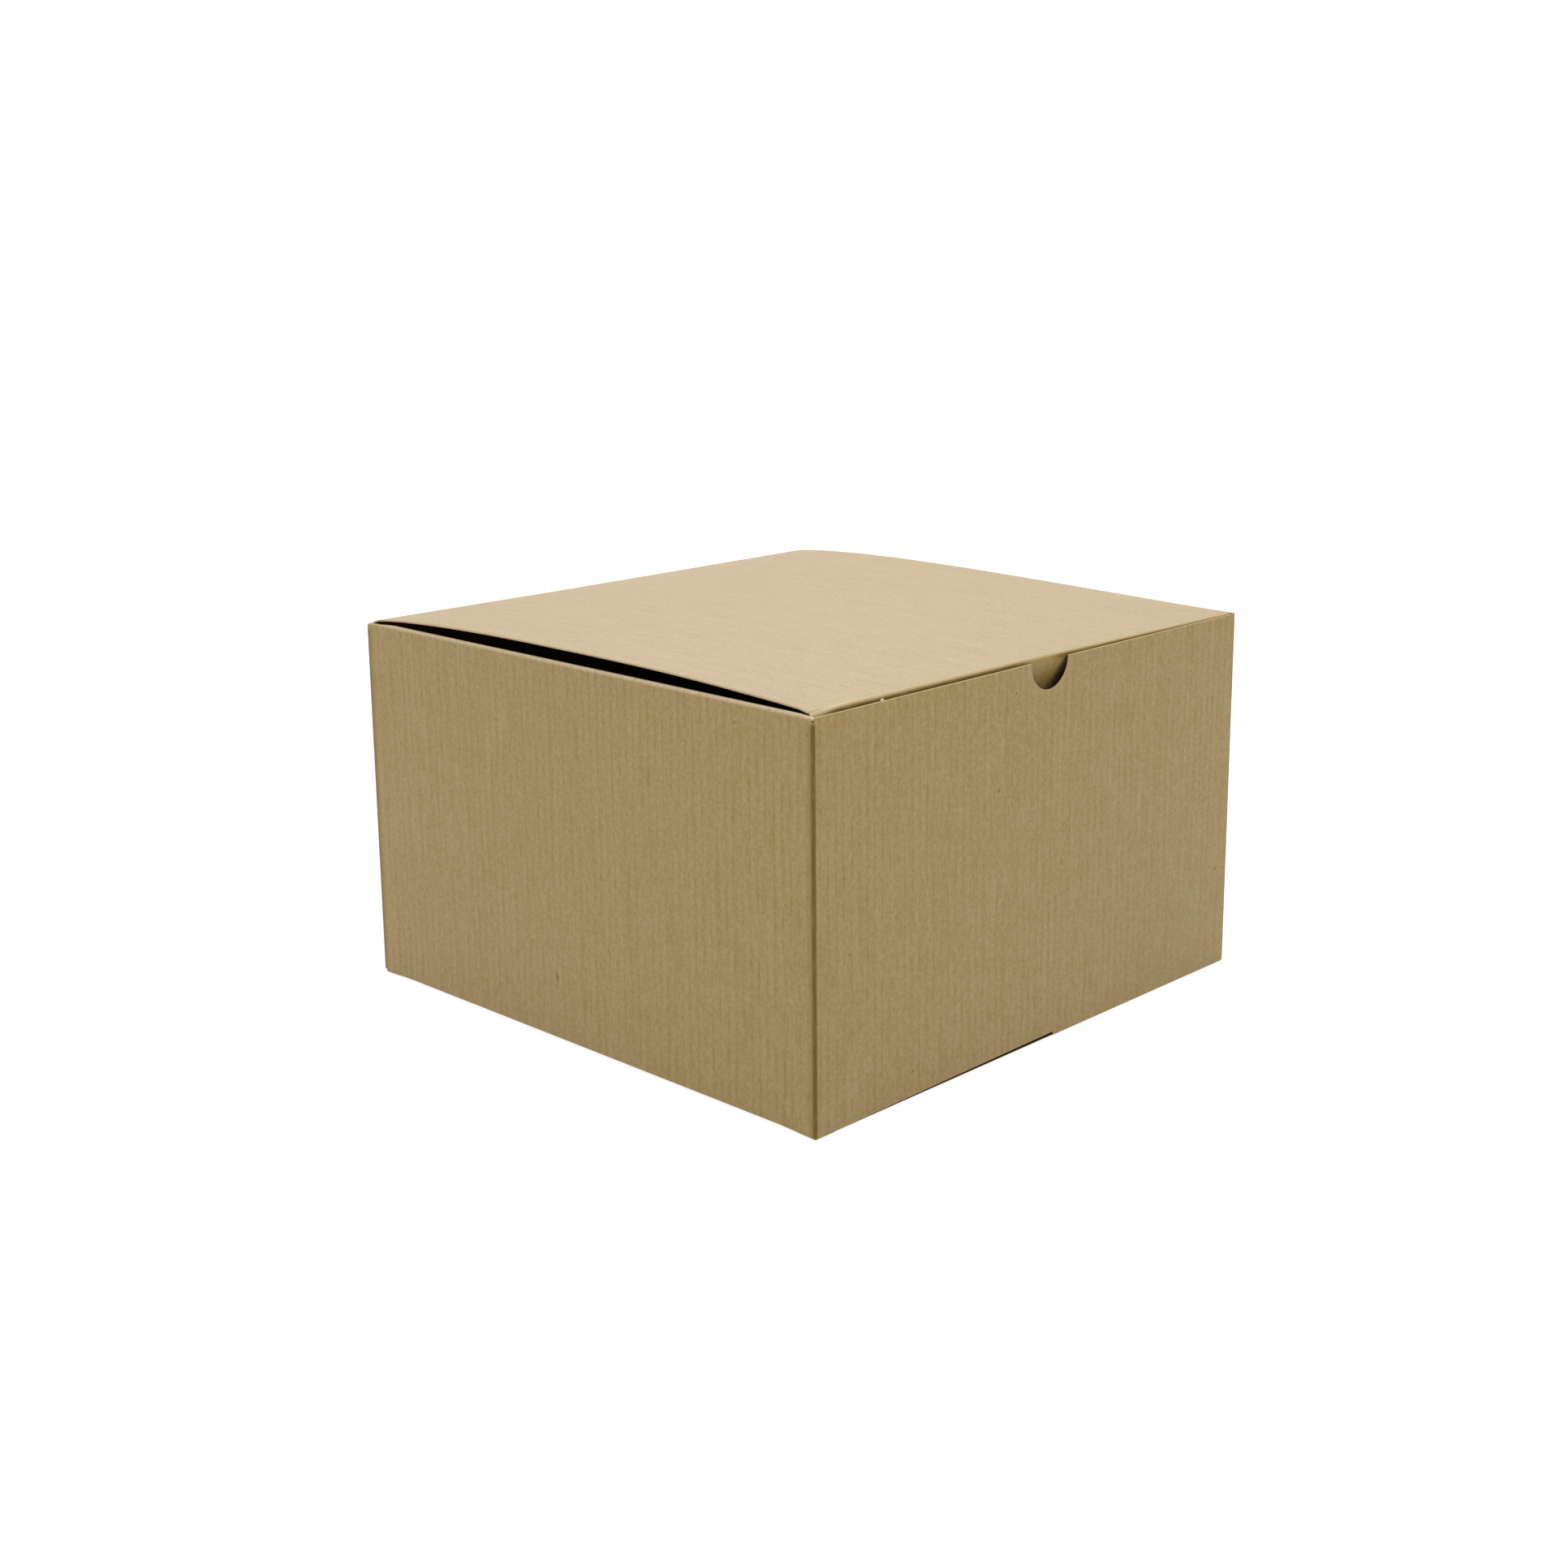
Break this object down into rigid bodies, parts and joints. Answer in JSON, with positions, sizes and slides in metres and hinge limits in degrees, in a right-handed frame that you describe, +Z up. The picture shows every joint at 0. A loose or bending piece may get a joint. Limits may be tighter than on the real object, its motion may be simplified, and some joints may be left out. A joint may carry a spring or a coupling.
{
  "type": "gift box",
  "caption": "Square kraft board gift box with a hinged tuck lid, dust flaps, a thumb notch, a glued seam and a self-locking folded bottom.",
  "frame": {"origin": "middle of the foot, on the table under the box", "axes": "+Z up, the front wall with the thumb notch faces -Y, the left wall faces -X, the lid's fold is at the back along X"},
  "size_m": [0.254, 0.254, 0.1577],
  "materials": {
    "kraft_board": "matt kraft board with fine tone-on-tone lines outside, plain kraft inside",
    "pressed_fold": "matt, fibres pressed and rubbed darker along the fold",
    "glue_film": "dried glue film, slightly cloudy"
  },
  "bodies": {
    "tube": {"front_wall": "kraft_board", "left_wall": "kraft_board", "back_wall": "kraft_board", "right_wall": "kraft_board", "front_left_crease": "pressed_fold", "front_right_crease": "pressed_fold", "back_right_crease": "pressed_fold", "seam_crease": "pressed_fold", "seam_tab": "kraft_board", "seam_glue": "glue_film", "lid_crease": "pressed_fold", "left_dust_crease": "pressed_fold", "right_dust_crease": "pressed_fold", "front_bottom_crease": "pressed_fold", "back_bottom_crease": "pressed_fold", "left_bottom_crease": "pressed_fold", "right_bottom_crease": "pressed_fold", "front_bottom_flap": "kraft_board", "back_bottom_flap": "kraft_board", "left_bottom_flap": "kraft_board", "right_bottom_flap": "kraft_board", "front_diagonal_crease": "pressed_fold", "back_diagonal_crease": "pressed_fold", "front_glue_tab": "kraft_board", "back_glue_tab": "kraft_board", "front_tab_glue": "glue_film", "back_tab_glue": "glue_film"},
    "lid": {"lid_panel": "kraft_board", "tuck_crease": "pressed_fold"},
    "tuck": {"tuck_flap": "kraft_board"},
    "left_dust": {"left_dust_flap": "kraft_board"},
    "right_dust": {"right_dust_flap": "kraft_board"}
  },
  "joints": [
    {"name": "lid_hinge", "type": "hinge", "parent": "tube", "child": "lid", "pos_m": [0, 0.1265, 0.1515], "axis": [-1, 0, 0], "range_deg": [0, 210]},
    {"name": "tuck_hinge", "type": "hinge", "parent": "lid", "child": "tuck", "pos_m": [0, -0.1255, 0.1533], "axis": [-1, 0, 0], "range_deg": [0, 84]},
    {"name": "left_dust_hinge", "type": "hinge", "parent": "tube", "child": "left_dust", "pos_m": [-0.1265, 0, 0.1526], "axis": [0, -1, 0], "range_deg": [0, 116]},
    {"name": "right_dust_hinge", "type": "hinge", "parent": "tube", "child": "right_dust", "pos_m": [0.1265, 0, 0.1526], "axis": [0, 1, 0], "range_deg": [0, 116]}
  ],
  "couplings": [
    {"joint": "tuck_hinge", "follows": "lid_hinge", "ratio": 0.4},
    {"joint": "left_dust_hinge", "follows": "lid_hinge", "ratio": 0.55},
    {"joint": "right_dust_hinge", "follows": "lid_hinge", "ratio": 0.55}
  ]
}
